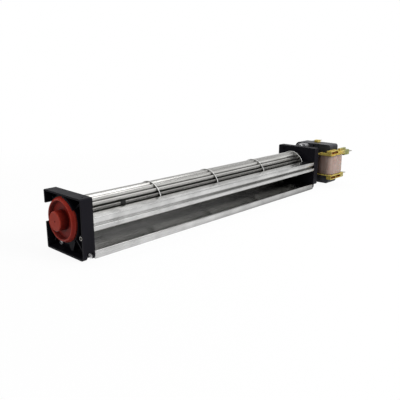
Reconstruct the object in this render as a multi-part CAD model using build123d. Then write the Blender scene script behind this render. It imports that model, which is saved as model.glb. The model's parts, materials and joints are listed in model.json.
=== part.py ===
from build123d import *
from math import acos, asin, atan2, cos, degrees, hypot, radians, sin, sqrt
import os

# Cross flow fan with a shaded-pole motor. Millimetres. X runs along the impeller from the bearing end
# to the motor, the air outlet faces -Y, and Z is up. X = 0 is the bearing plate's outer rim, Y = 0 the
# middle of the end plates' depth and Z = 0 the plane that the fan stands on.

# End plates
housing_length = 435.2
plate_height = 67.5
plate_depth = 70.6
plate_wall = 2.0
plate_floor = 2.0
plate_corner = 2.0
plate_inner_corner = 0.5
bearing_plate_thickness = 14.5
motor_plate_thickness = 11.0
foot_corner = 5.0
weld = 0.5

# Impeller
axis_inset = 31.3
axis_z = 38.0
disc_radius = 22.5
disc_thickness = 1.0
segment_count = 4
bearing_end_gap = 5.65
motor_end_gap = 8.55
blade_count = 20
blade_inner_radius = 17.2
blade_outer_radius = 21.4
blade_inner_angle = 62.0
blade_outer_angle = 22.0
blade_thickness = 0.5
blade_tip_angle = 31.0
blade_end_tab = 0.7
slot_clearance = 0.05
support_disc_bore = 13.0
clip_place = 0.47
clip_length = 6.5
clip_sheet = 0.5

# Shafts and fits
shaft_radius = 3.0
shaft_chamfer = 0.4
running_clearance = 0.03
press_clearance = 0.01
thrust_clearance = 0.15
spigot_radius = 4.0
journal_gap = 0.8

# Bearing end: elastic bush, sleeve bearing and stub shaft
boss_outer_radius = 27.0
boss_inner_radius = 19.0
boss_front = 4.0
bush_fit = 0.1
bush_flange_radius = 25.2
bush_flange_edge = 1.6
bush_crest_radius = 23.4
bush_crest_width = 2.2
bush_crest_edge = 0.6
bush_flange_depth = 5.5
bush_recess_depth = 4.4
bush_recess_radius = 19.6
bush_web = 2.0
bush_hub_radius = 10.8
bush_hub_edge = 0.8
bush_hub_draft = 0.6
bush_hub_neck = 9.2
bush_hub_length = 20.0
bush_hub_rise = 6.3
bush_hub_wall = 3.2
bush_tube_wall = 2.5
bush_bead_height = 1.4
bush_bead_length = 1.6
dimple_radius = 1.1
dimple_depth = 1.6
sleeve_radius = 5.5
sleeve_length = 15.0
washer_thickness = 0.8
washer_radius = 4.7
shoulder_radius = 5.0
rivet_head_radius = 6.0
rivet_head_height = 1.2

# Bent sheets, set back from the plates' front and back faces
sheet = 0.8
bend_radius = 1.4
front_set_back = 0.5
floor_top = 8.8
scroll_radius = 28.2
scroll_shift_y = -3.4
rear_flange_top = 49.4
rear_set_back = 2.3
rear_lip_drop = 6.0
tongue_reach = 24.0
tongue_top = 45.9
tongue_drop = 2.6
shelf_front_top = 45.0
roll_start = 42.2
roll_points = [(0.5, 39.6), (1.5, 37.6), (2.4, 36.2)]
lip_top = 34.7
lip_bottom = 30.5
lip_proud = 0.5
lip_return = 2.6
crease_radius = 0.55
ear_width = 7.4
ear_height = 5.8

# Housing screws, given from the plates' faces and from the sheet that each one holds
housing_screw_radius = 1.75
housing_screw_head_radius = 2.9
housing_screw_head_height = 2.1
housing_screw_grip = 6.0
screw_hole_clearance = 0.15
screw_head_clearance = 0.05
thread_clearance = 0.03
front_screw_inset = 5.1
front_screw_z = 3.2
rear_screw_inset = 10.3
rear_screw_z = 5.0
tongue_screw_inset = 5.9
tongue_screw_drop = 4.8
drive_slot_width = 0.9
drive_slot_depth = 0.8
pan_head_edge = 0.45

# Plate details
rib_thickness = 2.0
rib_depth = 7.5
rib_root = 1.0
rib_end_margin = 9.5
finger_inner_radius = 25.5
finger_outer_radius = 27.6
finger_front = 0.8
finger_start_angle = 98.0
finger_end_angle = 146.0
gusset_front = 4.6
gusset_top_width = 15.0
gusset_foot_radius = 3.5
gusset_shift = -10.6
gusset_top = 16.5
gusset_foot_z = 8.0
back_notch_low = 30.4
back_notch_high = 52.0
back_notch_depth = 9.0
foot_notch_start = 4.6
foot_notch_height = 8.2
foot_notch_margin = 3.4
notch_overcut = 0.1
top_hole_radius = 1.15
top_hole_x = 7.6
top_hole_inset = 7.6
insert_inset = 3.3
insert_z = 25.4
insert_radius = 2.2
insert_bore_radius = 1.65
insert_length = 7.0
insert_boss_radius = 3.3
mount_hole_radius = 1.65
mount_hole_inset = 11.4
mount_hole_drop = 5.4
mount_boss_radius = 4.2
mount_boss_margin = 1.5
mount_hole_web = 1.2
mount_recess_depth = 0.8
mount_recess_radius = 2.25
shaft_hole_radius = 11.5
post_radius = 4.2
post_pitch = 34.0
wall_foot_height = 8.0
wall_foot_reach = 18.0

# Drive hub
hub_flange_radius = 11.0
hub_flange_thickness = 2.0
hub_radius = 7.5
hub_length = 6.0
set_screw_radius = 1.5
set_screw_sink = 0.4
set_screw_lift = 0.05

# Motor
stack_gap = 20.3
stack_length = 26.0
stack_height = 65.0
stack_front_reach = 48.5
stack_back_reach = 18.0
stack_front_corner = 4.0
stack_back_corner = 8.0
rotor_bore_radius = 12.0
rotor_air_gap = 0.4
rotor_overhang = 1.0
rotor_ring_thickness = 3.0
rotor_ring_inset = 0.6
rotor_ring_bore = 6.5
core_width = 13.0
core_seat = 6.0
window_width = 10.8
window_height = 35.0
core_fit = 0.05
rivet_hole_radius = 1.7
rivet_hole_shift = -17.5
rivet_hole_inset = 4.1
pole_slot_width = 2.4
pole_slot_depth = 5.0

# Coil
bobbin_wall = 1.2
bobbin_fit = 0.15
bobbin_flange = 1.4
bobbin_corner = 1.0
bobbin_flange_corner = 3.0
winding_depth = 6.6
winding_corner = 9.0
tape_thickness = 0.35
bobbin_overhang = 1.4
terminal_block_height = 6.6
terminal_block_length = 24.5
terminal_block_depth = 8.4
terminal_mouth_back = 3.6
side_bar_height = 2.4
side_bar_width = 5.0
side_bar_inset = 3.0
foot_block_height = 6.6
foot_block_inset = 3.0
sleeve_low = -3.6
sleeve_high = 5.0
sleeve_step = 3.4
sleeve_reach = 16.0
sleeve_upper_reach = 11.0
sleeve_edge = 0.8
tab_width = 4.8
tab_thickness = 0.8
tab_seat = 8.0
upper_tab_reach = 31.0
lower_tab_reach = 13.0
tab_tip = 0.25
tab_hole_radius = 0.8
tab_hole_margin = 4.0
pocket_wall = 1.4

# Shading rings
shading_wire = 2.0
shading_stand_off = 0.6
shading_near_radius = 14.6
shading_near_angle = 72.0
shading_far_radius = 15.4
shading_far_angle = 22.0
shading_fit = 0.1

# Bearing brackets
bracket_width = 19.0
bracket_corner = 4.5
bracket_thickness = 4.0
bracket_stand_off = 7.5
bracket_foot = 10.5
bracket_end_margin = 1.0
bracket_boss_radius = 11.0
bracket_boss_height = 6.0
bracket_boss_wall = 3.0
bolt_inset = 5.0
bolt_radius = 2.0
bolt_head_radius = 3.5
bolt_head_height = 2.6
bolt_clearance = 0.15
nut_across_flats = 7.0
nut_height = 3.2
bolt_end = 1.5
motor_sleeve_radius = 5.5
motor_sleeve_flange = 6.8
motor_sleeve_flange_thickness = 1.2
motor_sleeve_inside = 6.0
felt_thickness = 3.0
felt_gap = 0.2
felt_fit = 0.05
shaft_rear_reach = 1.5
shaft_front_reach = 10.0
mount_screw_radius = 2.0
mount_screw_head_radius = 3.6
mount_screw_head_height = 2.2

# Earth tab
holder_x = 15.0
holder_length = 9.0
holder_shift = -13.0
holder_width = 7.0
holder_height = 3.8
holder_corner = 1.6
earth_tab_width = 4.8
earth_tab_seat = 5.0
earth_tab_reach = 6.5

# Places that follow from the sizes above
plate_back = plate_depth / 2
plate_front = -plate_depth / 2
axis_y = plate_back - axis_inset
gusset_y = axis_y + gusset_shift
stack_front = axis_y - stack_front_reach
stack_back = axis_y + stack_back_reach
rivet_hole_y = axis_y + rivet_hole_shift
holder_y = axis_y + holder_shift
bearing_inner = bearing_plate_thickness
motor_inner = bearing_inner + housing_length
motor_outer = motor_inner + motor_plate_thickness
tray_floor = bearing_inner - plate_floor
motor_tray_floor = motor_inner + plate_floor
segment_length = (housing_length - bearing_end_gap - motor_end_gap - disc_thickness) / segment_count
disc_places = [bearing_inner + bearing_end_gap + disc_thickness / 2 + segment_length * k
               for k in range(segment_count + 1)]
first_disc_face = disc_places[0] - disc_thickness / 2
last_disc_face = disc_places[-1] + disc_thickness / 2
stack_start = motor_outer + stack_gap
stack_end = stack_start + stack_length
stack_low = axis_z - stack_height / 2
stack_high = axis_z + stack_height / 2
window_low = axis_z - window_height / 2
window_high = axis_z + window_height / 2
core_back = stack_front + core_width
bracket_face = stack_start - bracket_stand_off - bracket_thickness
rear_bracket_face = stack_end + bracket_stand_off + bracket_thickness
front_plane = plate_front + front_set_back
tongue_edge = axis_y - tongue_reach
bolt_pitch = stack_height - 2 * bolt_inset
strap_height = stack_height - 2 * bracket_end_margin
insert_y = plate_front + insert_inset
mount_hole_y = plate_back - mount_hole_inset
mount_hole_z = plate_height - mount_hole_drop
mount_boss_end = motor_outer - mount_boss_margin
clip_position = disc_places[0] + segment_length * clip_place
shaft_line = Axis((0, axis_y, axis_z), (1, 0, 0))


def across(x, y=0.0, z=0.0):
    """Plane across the fan at x: its own x axis is Y and its own y axis is Z."""
    return Plane(origin=(x, y, z), x_dir=(0, 1, 0), z_dir=(1, 0, 0))


def along(section, x0, x1, y=0.0, z=0.0):
    """Solid of a Y-Z section between two places along the fan."""
    return extrude(across(x0, y, z) * section, amount=x1 - x0)


def rod(x0, x1, radius, y=axis_y, z=axis_z):
    """Round bar along X."""
    return along(Circle(radius), x0, x1, y, z)


def tube(x0, x1, outer, inner, y=axis_y, z=axis_z):
    """Round tube along X."""
    return along(Circle(outer) - Circle(inner), x0, x1, y, z)


def block(x0, x1, y0, y1, z0, z1):
    """Square-edged block between two corners."""
    size = Box(x1 - x0, y1 - y0, z1 - z0)
    return Pos((x0 + x1) / 2, (y0 + y1) / 2, (z0 + z1) / 2) * size


def turned(points):
    """Solid of revolution about the shaft line, from (x, radius) points."""
    half_plane = Plane(origin=(0, axis_y, axis_z), x_dir=(1, 0, 0), z_dir=(0, -1, 0))
    return revolve(half_plane * make_face(Polyline(*points, close=True)), shaft_line)


def sector(centre, radius, half_width, start, end):
    """Curved strip of a circle, between two angles in degrees."""
    outer = CenterArc(centre, radius + half_width, start, end - start)
    inner = CenterArc(centre, radius - half_width, start, end - start)
    return make_face([outer, Line(outer @ 1, inner @ 1), inner, Line(inner @ 0, outer @ 0)])


def slotted_pan_screw(x_face, x_tip, y, z, head_radius, head_height, shank_radius):
    """Pan-head screw along +X with its head's seat at x_face."""
    head = rod(x_face - head_height, x_face, head_radius, y, z)
    head = fillet(head.edges().sort_by(Axis.X)[0], head_height * pan_head_edge)
    slot = block(x_face - head_height, x_face - head_height + drive_slot_depth,
                 y - head_radius, y + head_radius, z - drive_slot_width / 2, z + drive_slot_width / 2)
    return head - slot + rod(x_face, x_tip, shank_radius, y, z)


# Blade mean line: one arc that leaves the inner circle at the inner angle and meets the outer circle at
# the outer angle, both measured from the circle's tangent, with the tips leaning in the turning direction.
def blade_arc():
    inner, outer = blade_inner_radius, blade_outer_radius
    tilt = outer * cos(radians(blade_outer_angle)) - inner * cos(radians(blade_inner_angle))
    radius = (outer ** 2 - inner ** 2) / (2 * tilt)
    centre_y = inner - radius * cos(radians(blade_inner_angle))
    centre_z = -radius * sin(radians(blade_inner_angle))
    reach = hypot(centre_y, centre_z)
    bearing = degrees(atan2(centre_z, centre_y))
    at_inner = degrees(acos((inner ** 2 - reach ** 2 - radius ** 2) / (2 * reach * radius)))
    at_outer = degrees(acos((outer ** 2 - reach ** 2 - radius ** 2) / (2 * reach * radius)))
    tip = (centre_y + radius * cos(radians(bearing + at_outer)),
           centre_z + radius * sin(radians(bearing + at_outer)))
    tip_angle = degrees(atan2(tip[1], tip[0]))
    return (centre_y, centre_z), radius, bearing + at_inner, bearing + at_outer, tip_angle


def blade_turn(k):
    """Turn that brings the drawn blade to place k: places run up the front and over the top."""
    tip_angle = blade_arc()[4]
    return 180.0 - blade_tip_angle - 360.0 / blade_count * k - tip_angle


def blade_section(grow=0.0):
    centre, radius, root, tip, _ = blade_arc()
    more = degrees(grow / radius)
    return sector(centre, radius, blade_thickness / 2 + grow, tip - more, root + more)


def blade(k):
    x0 = first_disc_face - blade_end_tab
    x1 = last_disc_face + blade_end_tab
    return along(Rot(0, 0, blade_turn(k)) * blade_section(), x0, x1, axis_y, axis_z)


def slotted_disc(x, bore):
    """Disc with one curved slot for each blade."""
    face = Circle(disc_radius) - Circle(bore)
    for k in range(blade_count):
        face -= Rot(0, 0, blade_turn(k)) * blade_section(slot_clearance)
    return along(face, x - disc_thickness / 2, x + disc_thickness / 2, axis_y, axis_z)


def balance_clip():
    """Small spring clip pushed over one blade's outer edge."""
    centre, radius, root, tip, _ = blade_arc()
    lip = degrees(clip_sheet / radius)
    half = blade_thickness / 2 + slot_clearance + clip_sheet
    wrap = sector(centre, radius, half, tip - lip, (root + tip) / 2)
    wrap -= blade_section(slot_clearance)
    x0 = clip_position - clip_length / 2
    return along(Rot(0, 0, blade_turn(0)) * wrap, x0, x0 + clip_length, axis_y, axis_z)


# Shafts, hubs and the elastic bush
bush_hub_front = boss_front - bush_flange_depth - bush_hub_rise
bush_pocket_bottom = bush_hub_front + bush_hub_wall
sleeve_start = bush_pocket_bottom + press_clearance
sleeve_end = sleeve_start + sleeve_length
washer_start = sleeve_end + thrust_clearance
shoulder_start = washer_start + washer_thickness + thrust_clearance


def bearing_bush():
    """Silicone bush: dished flange on the boss, thin web, hub with a blind pocket, and a rear bead."""
    lip = boss_front - bush_flange_depth
    floor = lip + bush_recess_depth
    neck = boss_inner_radius - bush_fit
    neck_inner = neck - bush_tube_wall
    bead_start = bearing_inner + bush_fit
    hub_end = bush_hub_front + bush_hub_length
    crest_inner = bush_crest_radius - bush_crest_width
    flange_back = boss_front - bush_fit
    profile = [
        (bush_hub_front + dimple_depth, 0),
        (bush_hub_front, dimple_radius),
        (bush_hub_front, bush_hub_radius - bush_hub_edge),
        (bush_hub_front + bush_hub_edge, bush_hub_radius),
        (floor, bush_hub_radius + bush_hub_draft),
        (floor, bush_recess_radius),
        (lip + bush_crest_edge, crest_inner),
        (lip, crest_inner + bush_crest_edge),
        (lip, bush_crest_radius - bush_crest_edge),
        (lip + bush_crest_edge, bush_crest_radius),
        (flange_back - bush_flange_edge, bush_flange_radius),
        (flange_back, bush_flange_radius),
        (flange_back, neck),
        (bead_start, neck),
        (bead_start, neck + bush_bead_height),
        (bead_start + bush_bead_length, neck),
        (bead_start + bush_bead_length, neck_inner),
        (floor + bush_web, neck_inner),
        (floor + bush_web, bush_hub_neck),
        (hub_end, bush_hub_neck),
        (hub_end, sleeve_radius + press_clearance),
        (bush_pocket_bottom, sleeve_radius + press_clearance),
        (bush_pocket_bottom, 0),
    ]
    return turned(profile)


def sleeve_bearing():
    return tube(sleeve_start, sleeve_end, sleeve_radius, shaft_radius + running_clearance)


def thrust_washer():
    return tube(washer_start, washer_start + washer_thickness,
                washer_radius, shaft_radius + running_clearance)


def stub_shaft():
    """Turned stub: journal, shoulder against the end disc, spigot through it and a riveted head."""
    disc_back = first_disc_face + disc_thickness
    shaft = rod(sleeve_start + journal_gap, shoulder_start, shaft_radius)
    shaft += rod(shoulder_start, first_disc_face, shoulder_radius)
    shaft += rod(first_disc_face, disc_back, spigot_radius)
    return shaft + rod(disc_back, disc_back + rivet_head_height, rivet_head_radius)


def bearing_end_disc():
    return slotted_disc(disc_places[0], spigot_radius + press_clearance)


def motor_end_disc():
    return slotted_disc(disc_places[-1], hub_radius + press_clearance)


hub_flange_start = last_disc_face - disc_thickness - hub_flange_thickness
hub_end = last_disc_face + hub_length
set_screw_x = (last_disc_face + hub_end) / 2


def drive_hub():
    """Turned hub riveted in the motor end disc, bored for the motor shaft."""
    hub = rod(hub_flange_start, last_disc_face - disc_thickness, hub_flange_radius)
    hub += rod(last_disc_face - disc_thickness, hub_end, hub_radius)
    hub -= rod(hub_flange_start, hub_end, shaft_radius + press_clearance)
    tapping = Cylinder(set_screw_radius + thread_clearance, hub_radius)
    return hub - Pos(set_screw_x, axis_y, axis_z + hub_radius / 2) * tapping


def hub_set_screw():
    """Headless screw from the hub's rim to the shaft."""
    length = hub_radius - shaft_radius - set_screw_sink
    screw = Cylinder(set_screw_radius, length)
    slot = Box(2 * set_screw_radius, drive_slot_width / 2, drive_slot_depth)
    screw -= Pos(0, 0, (length - drive_slot_depth) / 2) * slot
    return Pos(set_screw_x, axis_y, axis_z + shaft_radius + set_screw_lift + length / 2) * screw


def motor_shaft():
    """Ground shaft from inside the impeller to the rear bearing."""
    x0 = hub_flange_start - shaft_front_reach
    x1 = rear_bracket_face + bracket_boss_height + shaft_rear_reach
    shaft = rod(x0, x1, shaft_radius)
    return chamfer(shaft.edges(), shaft_chamfer)


def rotor_core():
    radius = rotor_bore_radius - rotor_air_gap
    return tube(stack_start - rotor_overhang, stack_end + rotor_overhang,
                radius, shaft_radius + press_clearance)


def rotor_end_rings():
    """Cast aluminium rings of the squirrel cage, one at each face of the core."""
    radius = rotor_bore_radius - rotor_air_gap - rotor_ring_inset
    front = stack_start - rotor_overhang
    rear = stack_end + rotor_overhang
    return [tube(front - rotor_ring_thickness, front, radius, rotor_ring_bore),
            tube(rear, rear + rotor_ring_thickness, radius, rotor_ring_bore)]


# End plates
def plate_outline(inset=0.0):
    """Plate's outline with a larger corner at the front foot, moved inwards by an inset."""
    width = plate_depth - 2 * inset
    height = plate_height - 2 * inset
    outline = Pos(0, plate_height / 2) * Rectangle(width, height)
    foot = outline.vertices().group_by(Axis.Y)[0].sort_by(Axis.X)[0]
    others = [v for v in outline.vertices() if (v.X, v.Y) != (foot.X, foot.Y)]
    outline = fillet(foot, foot_corner - inset)
    corners = [v for v in outline.vertices()
               if any(hypot(v.X - o.X, v.Y - o.Y) < 1e-6 for o in others)]
    return fillet(corners, max(plate_corner - inset, plate_inner_corner))


front_screw_y = plate_front + front_screw_inset
rear_screw_y = plate_back - rear_screw_inset
housing_screw_places = [
    (front_screw_y, front_screw_z),
    (rear_screw_y, rear_screw_z),
    (plate_front + tongue_screw_inset, shelf_front_top - tongue_screw_drop),
]


def corner_ribs():
    """Ribs from the bearing boss to the tray's corners."""
    ribs = []
    for side_y in (plate_front + plate_wall, plate_back - plate_wall):
        for side_z in (plate_wall, plate_height - plate_wall):
            reach = hypot(side_y - axis_y, side_z - axis_z)
            angle = degrees(atan2(side_z - axis_z, side_y - axis_y))
            end = reach - rib_end_margin
            middle = (boss_outer_radius + end) / 2
            rib = Pos(middle, 0) * Rectangle(end - boss_outer_radius + 2 * rib_root, rib_thickness)
            ribs.append(along(Rot(0, 0, angle) * rib, tray_floor - rib_depth, tray_floor + weld,
                              axis_y, axis_z))
    return ribs


def finger_and_gusset():
    """Curved finger above the bush's flange, and the rounded gusset below its boss."""
    middle = (finger_inner_radius + finger_outer_radius) / 2
    half = (finger_outer_radius - finger_inner_radius) / 2
    finger = sector((0, 0), middle, half, finger_start_angle, finger_end_angle)
    top = gusset_top_width / 2
    foot = gusset_foot_radius
    gusset = make_face(Polyline((gusset_y - top, gusset_top), (gusset_y + top, gusset_top),
                                (gusset_y + foot, gusset_foot_z), (gusset_y - foot, gusset_foot_z),
                                close=True))
    gusset += Pos(gusset_y, gusset_foot_z) * Circle(foot)
    return [along(finger, finger_front, boss_front + weld, axis_y, axis_z),
            along(gusset, gusset_front, tray_floor + weld)]


def bearing_end_plate():
    """Moulded tray, open outwards, with a ribbed boss for the elastic bush."""
    plate = along(plate_outline(), 0, bearing_inner)
    plate -= along(plate_outline(plate_wall), 0, tray_floor)
    plate += rod(boss_front, bearing_inner, boss_outer_radius)
    plate += corner_ribs()
    plate += finger_and_gusset()
    plate += rod(0, tray_floor + weld, insert_boss_radius, insert_y, insert_z)
    plate &= along(plate_outline(), 0, bearing_inner)
    plate -= rod(0, bearing_inner, boss_inner_radius)
    plate -= block(0, back_notch_depth, plate_back - plate_wall - notch_overcut, plate_back,
                   back_notch_low, back_notch_high)
    plate -= block(foot_notch_start, tray_floor, plate_front, front_screw_y + foot_notch_margin,
                   0, foot_notch_height)
    plate -= rod(0, insert_length, insert_radius + press_clearance, insert_y, insert_z)
    top_hole = Cylinder(top_hole_radius, 3 * plate_wall)
    plate -= Pos(top_hole_x, plate_front + top_hole_inset, plate_height) * top_hole
    for y, z in housing_screw_places:
        plate -= rod(tray_floor, bearing_inner, housing_screw_radius + screw_hole_clearance, y, z)
        plate -= rod(tray_floor - housing_screw_head_height, tray_floor,
                     housing_screw_head_radius + screw_head_clearance, y, z)
    return plate


def motor_end_plate():
    """Moulded tray, open towards the motor, with two posts that carry it and one fixing boss."""
    plate = along(plate_outline(), motor_inner, motor_outer)
    plate -= along(plate_outline(plate_wall), motor_tray_floor, motor_outer)
    for side in (-1, 1):
        plate += rod(motor_inner, bracket_face, post_radius, axis_y, axis_z + side * post_pitch / 2)
    plate -= block(motor_tray_floor, motor_outer, plate_front, plate_front + wall_foot_reach,
                   0, wall_foot_height)
    plate -= rod(motor_inner, motor_tray_floor, shaft_hole_radius)
    for side in (-1, 1):
        plate -= rod(motor_inner, bracket_face, mount_screw_radius + screw_hole_clearance,
                     axis_y, axis_z + side * post_pitch / 2)
    plate += rod(motor_inner, mount_boss_end, mount_boss_radius, mount_hole_y, mount_hole_z)
    plate -= rod(motor_inner, motor_inner + mount_recess_depth, mount_recess_radius,
                 mount_hole_y, mount_hole_z)
    plate -= rod(motor_inner + mount_recess_depth + mount_hole_web, mount_boss_end, mount_hole_radius,
                 mount_hole_y, mount_hole_z)
    for y, z in housing_screw_places:
        plate -= rod(motor_inner, motor_tray_floor, housing_screw_radius + screw_hole_clearance, y, z)
        plate -= rod(motor_tray_floor, motor_tray_floor + housing_screw_head_height,
                     housing_screw_head_radius + screw_head_clearance, y, z)
    return plate


def threaded_insert():
    """Brass insert in the bearing plate's rim, for whatever the fan is fixed to."""
    return tube(0, insert_length, insert_radius, insert_bore_radius, insert_y, insert_z)


# Bent sheets
def ears(place, hang_from):
    """Bent tabs at both ends of a sheet, each with a hole for a housing screw."""
    y, z = place
    low = min(z - ear_height / 2, hang_from)
    high = max(z + ear_height / 2, hang_from)
    tabs = []
    for x0 in (bearing_inner, motor_inner - sheet):
        tab = block(x0, x0 + sheet, y - ear_width / 2, y + ear_width / 2, low, high)
        tabs.append(tab - rod(x0, x0 + sheet, housing_screw_radius + thread_clearance, y, z))
    return tabs


def scroll_housing():
    """One bent sheet: rear flange, scroll round the back of the impeller, outlet floor, front flange."""
    middle = sheet / 2
    radius = scroll_radius + middle
    centre = (axis_y + scroll_shift_y, floor_top + scroll_radius)
    flange_z = rear_flange_top - middle
    back = plate_back - rear_set_back - middle
    front = front_plane + middle
    floor_z = floor_top - middle
    lift = degrees(asin((flange_z - bend_radius - centre[1]) / (radius + bend_radius)))
    fold = (centre[0] + (radius + bend_radius) * cos(radians(lift)), flange_z - bend_radius)
    path = Line((back, flange_z - rear_lip_drop), (back, flange_z - bend_radius))
    path += CenterArc((back - bend_radius, flange_z - bend_radius), bend_radius, 0, 90)
    path += Line((back - bend_radius, flange_z), (fold[0], flange_z))
    path += CenterArc(fold, bend_radius, 90, 90 + lift)
    path += CenterArc(centre, radius, lift, -90 - lift)
    path += Line((centre[0], floor_z), (front + bend_radius, floor_z))
    path += CenterArc((front + bend_radius, floor_z - bend_radius), bend_radius, 90, 90)
    path += Line((front, floor_z - bend_radius), (front, 0))
    housing = along(trace(path, sheet), bearing_inner, motor_inner)
    housing += ears(housing_screw_places[0], floor_z)
    rear_reach = rear_screw_y - ear_width / 2 - centre[0]
    under_scroll = centre[1] - sqrt(radius ** 2 - rear_reach ** 2)
    return housing + ears(housing_screw_places[1], under_scroll)


def stabilizer():
    """One bent sheet: tongue, shelf, front face rolled under, outlet lip and its hem."""
    middle = sheet / 2
    front = front_plane + middle
    lip = front - lip_proud
    path = FilletPolyline(
        (tongue_edge - middle, tongue_top - middle - tongue_drop),
        (tongue_edge - middle, tongue_top - middle),
        (front, shelf_front_top - middle),
        (front, roll_start),
        *[(front + inwards, z) for inwards, z in roll_points],
        (lip, lip_top),
        (lip, lip_bottom + middle),
        (lip + lip_return, lip_bottom + middle),
        radius=crease_radius,
    )
    face = along(trace(path, sheet), bearing_inner, motor_inner)
    return face + ears(housing_screw_places[2], shelf_front_top - middle)


def housing_screws(outward):
    """Self-tapping screws through an end plate into the sheets' ears."""
    screws = []
    for y, z in housing_screw_places:
        screw = slotted_pan_screw(tray_floor, tray_floor + housing_screw_grip, y, z,
                                  housing_screw_head_radius, housing_screw_head_height,
                                  housing_screw_radius)
        if outward:
            middle = (bearing_inner + motor_inner) / 2
            screw = mirror(screw, Plane.YZ.offset(middle))
        screws.append(screw)
    return screws


# Motor
def stack_outline():
    """Lamination's outer outline: small corners at the coil, large ones behind the rotor."""
    width = stack_back - stack_front
    outline = Pos((stack_front + stack_back) / 2, axis_z) * Rectangle(width, stack_height)
    outline = fillet(outline.vertices().group_by(Axis.X)[0], stack_front_corner)
    return fillet(outline.vertices().group_by(Axis.X)[-1], stack_back_corner)


def core_section(grow=0.0):
    """Straight leg that closes the frame through the coil."""
    height = window_height + 2 * core_seat
    return Pos(stack_front + core_width / 2, axis_z) * Rectangle(core_width + 2 * grow,
                                                                height + 2 * grow)


def shading_places(side):
    """The two legs of a shading ring, above the shaft for side +1 and below it for side -1."""
    near = radians(shading_near_angle)
    far = radians(shading_far_angle)
    return [
        (axis_y + side * shading_near_radius * cos(near), axis_z + side * shading_near_radius * sin(near)),
        (axis_y + side * shading_far_radius * cos(far), axis_z + side * shading_far_radius * sin(far)),
    ]


def stator_stack():
    """Laminated frame with the rotor bore, the coil window and the seats of the coil's core."""
    face = stack_outline()
    face -= Pos(core_back + window_width / 2, axis_z) * Rectangle(window_width, window_height)
    face -= core_section(core_fit)
    face -= Pos(stack_front, axis_z) * Rectangle(2 * core_width, window_height)
    face -= Pos(axis_y, axis_z) * Circle(rotor_bore_radius)
    rivet_hole_offset = stack_height / 2 - rivet_hole_inset
    for side in (-1, 1):
        slot = Pos(axis_y + side * rotor_bore_radius, axis_z)
        face -= slot * Rectangle(pole_slot_depth, pole_slot_width)
        face -= Pos(rivet_hole_y, axis_z + side * rivet_hole_offset) * Circle(rivet_hole_radius)
        face -= Pos(axis_y, axis_z + side * bolt_pitch / 2) * Circle(bolt_radius + bolt_clearance)
        for place in shading_places(side):
            face -= Pos(*place) * Circle(shading_wire / 2 + shading_fit)
    return along(face, stack_start, stack_end)


def coil_core():
    return along(core_section(), stack_start, stack_end)


def shading_rings():
    """One closed copper loop round part of each pole."""
    radius = shading_wire / 2
    front = stack_start - shading_stand_off - radius
    rear = stack_end + shading_stand_off + radius
    rings = []
    for side in (-1, 1):
        (y0, z0), (y1, z1) = shading_places(side)
        ring = rod(front - radius, rear + radius, radius, y0, z0)
        ring += rod(front - radius, rear + radius, radius, y1, z1)
        span = hypot(y1 - y0, z1 - z0)
        tilt = degrees(atan2(z1 - z0, y1 - y0))
        for x in (front, rear):
            bar = Rot(0, 0, tilt) * Rectangle(span, shading_wire)
            ring += along(bar, x - radius, x + radius, (y0 + y1) / 2, (z0 + z1) / 2)
        rings.append(ring)
    return rings


def leg_ring(z0, z1, inner, outer, corner):
    """Ring round the core between two heights, given by its distances from the core's faces."""
    centre_x = (stack_start + stack_end) / 2
    centre_y = stack_front + core_width / 2
    outside = RectangleRounded(stack_length + 2 * outer, core_width + 2 * outer, corner)
    if inner < bobbin_fit + bobbin_wall:
        inside = Rectangle(stack_length + 2 * inner, core_width + 2 * inner)
    else:
        inside = RectangleRounded(stack_length + 2 * inner, core_width + 2 * inner, bobbin_corner)
    return extrude(Plane(origin=(centre_x, centre_y, z0)) * (outside - inside), amount=z1 - z0)


winding_low = window_low + core_fit + bobbin_flange
winding_high = window_high - core_fit - bobbin_flange
winding_inner = bobbin_fit + bobbin_wall
winding_outer = winding_inner + winding_depth
flange_outer = winding_outer + tape_thickness + bobbin_overhang
coil_front = stack_front - winding_outer - tape_thickness


bobbin_end = stack_end + flange_outer
bobbin_start = stack_start - flange_outer
terminal_back = stack_front - bobbin_fit
terminal_y = terminal_back - terminal_block_depth / 2


def tab_places():
    """Middle height and reach of the upper and the lower connection tab."""
    upper = winding_high + (sleeve_low + sleeve_high) / 2
    lower = winding_low - bobbin_flange - pocket_wall
    return [(upper, upper_tab_reach), (lower, lower_tab_reach)]


def upper_terminals():
    """Terminal block above the coil, its side bar, and the stepped sleeve round the upper tab."""
    top = winding_high + bobbin_flange
    front = terminal_back - terminal_block_depth
    block_end = bobbin_start + terminal_block_length
    sleeve_end = bobbin_end + sleeve_reach
    side_front = stack_front - flange_outer + side_bar_inset
    bar = block(bobbin_start, bobbin_start + side_bar_width, side_front, core_back,
                top, top + side_bar_height)
    housing = block(bobbin_start, block_end, front, terminal_back, top, top + terminal_block_height)
    housing -= block(bobbin_start + pocket_wall, block_end - pocket_wall, front,
                     terminal_back - terminal_mouth_back, top + pocket_wall,
                     top + terminal_block_height - pocket_wall)
    low_sleeve = block(block_end, sleeve_end, front, terminal_back,
                       winding_high + sleeve_low, winding_high + sleeve_high)
    high_sleeve = block(stack_end, bobbin_end + sleeve_upper_reach, terminal_y, terminal_back,
                        winding_high + sleeve_high - weld, winding_high + sleeve_high + sleeve_step)
    rounded_sleeves = [fillet(part.edges().filter_by(Axis.X), sleeve_edge)
                       for part in (low_sleeve, high_sleeve)]
    inside_coil = block(block_end, bobbin_end, front, terminal_back, winding_low, winding_high)
    return [bar, housing] + [part - inside_coil for part in rounded_sleeves]


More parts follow.
